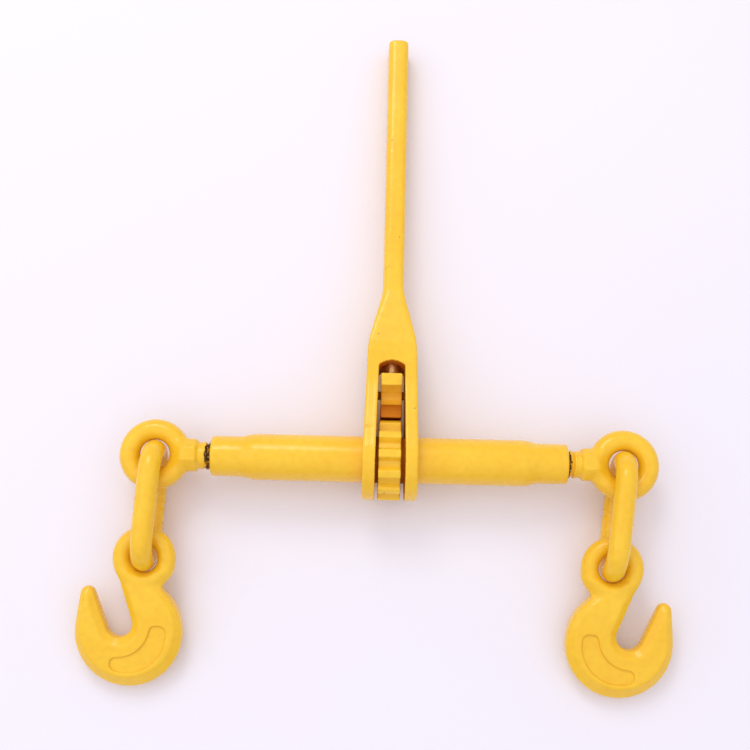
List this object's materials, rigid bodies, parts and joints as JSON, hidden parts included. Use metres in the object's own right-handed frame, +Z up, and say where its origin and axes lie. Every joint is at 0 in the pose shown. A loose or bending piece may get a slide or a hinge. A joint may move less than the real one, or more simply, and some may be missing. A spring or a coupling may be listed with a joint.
{
  "type": "ratchet load binder",
  "caption": "Ratchet load binder for lashing chain: a long forked handle with a reversible pawl turns a barrel that draws in two eye screws, each linked to a grab hook.",
  "frame": {"origin": "on the floor, under the middle of the binder's footprint as it lies flat with its handle out straight", "axes": "+X along the barrel towards the right-hand-threaded eye screw, +Y towards the handle's tip, +Z up from the floor"},
  "size_m": [0.423, 0.4904, 0.058],
  "materials": {
    "yellow_enamel": "thick glossy yellow enamel over rough forgings, chipped at rubbing edges",
    "bare_steel": "bare turned steel, dark with grease",
    "thread_grease": "rolled thread, dark with old grease",
    "plunger_steel": "yellow-passivated, oily",
    "spring_steel": "drawn wire"
  },
  "bodies": {
    "barrel": {"barrel": "yellow_enamel", "ratchet_gear": "yellow_enamel", "gear_lock_pins": "bare_steel"},
    "handle": {"handle": "yellow_enamel", "pawl_pin": "bare_steel", "pawl_spring": "spring_steel"},
    "pawl": {"pawl": "yellow_enamel"},
    "plunger": {"pawl_plunger": "plunger_steel"},
    "left_washer": {"stop_washer_left": "bare_steel"},
    "right_washer": {"stop_washer_right": "bare_steel"},
    "left_screw": {"eye_screw_left": "yellow_enamel", "stop_pin_left": "bare_steel"},
    "right_screw": {"eye_screw_right": "yellow_enamel", "stop_pin_right": "bare_steel"},
    "left_link": {"chain_link_left": "yellow_enamel"},
    "right_link": {"chain_link_right": "yellow_enamel"},
    "left_hook": {"grab_hook_left": "yellow_enamel"},
    "right_hook": {"grab_hook_right": "yellow_enamel"}
  },
  "joints": [
    {"name": "handle_swing", "type": "hinge", "parent": "barrel", "child": "handle", "pos_m": [0.00812, -0.08194, 0.029], "axis": [1, 0, 0], "continuous": true},
    {"name": "pawl_tilt", "type": "hinge", "parent": "handle", "child": "pawl", "pos_m": [0.00812, -0.035, 0.02655], "axis": [1, 0, 0], "range_deg": [-18, 18]},
    {"name": "plunger_slide", "type": "slide", "parent": "handle", "child": "plunger", "axis": [0, 0.9986, -0.052], "range_m": [0, 0.0015], "stiffness_N_per_m": 2000, "springref_m": -0.004, "deforming": ["pawl_spring"]},
    {"name": "left_screw_travel", "type": "slide", "parent": "barrel", "child": "left_washer", "axis": [-1, 0, 0], "range_m": [-0.0041, 0.0921]},
    {"name": "left_screw_turn", "type": "hinge", "parent": "left_washer", "child": "left_screw", "pos_m": [0.00812, -0.08194, 0.029], "axis": [1, 0, 0], "range_deg": [-360, 8280]},
    {"name": "right_screw_travel", "type": "slide", "parent": "barrel", "child": "right_washer", "axis": [1, 0, 0], "range_m": [-0.0041, 0.0921]},
    {"name": "right_screw_turn", "type": "hinge", "parent": "right_washer", "child": "right_screw", "pos_m": [0.00812, -0.08194, 0.029], "axis": [1, 0, 0], "range_deg": [-360.5, 8280.5]},
    {"name": "left_link_swing", "type": "hinge", "parent": "left_screw", "child": "left_link", "pos_m": [-0.15968, -0.08194, 0.029], "axis": [0, 0, -1], "range_deg": [-30, 190]},
    {"name": "left_hook_swing", "type": "hinge", "parent": "left_link", "child": "left_hook", "pos_m": [-0.16403, -0.15513, 0.02388], "axis": [0, 0, -1], "range_deg": [-45, 45]},
    {"name": "right_link_swing", "type": "hinge", "parent": "right_screw", "child": "right_link", "pos_m": [0.17592, -0.08194, 0.029], "axis": [0, 0, 1], "range_deg": [-30, 190]},
    {"name": "right_hook_swing", "type": "hinge", "parent": "right_link", "child": "right_hook", "pos_m": [0.16787, -0.15482, 0.02388], "axis": [0, 0, 1], "range_deg": [-45, 45]}
  ],
  "couplings": [
    {"joint": "left_screw_travel", "follows": "left_screw_turn", "m_per_rad": 0.00063662},
    {"joint": "right_screw_turn", "follows": "left_screw_turn", "ratio": 1},
    {"joint": "right_screw_travel", "follows": "left_screw_turn", "m_per_rad": 0.00063662}
  ]
}
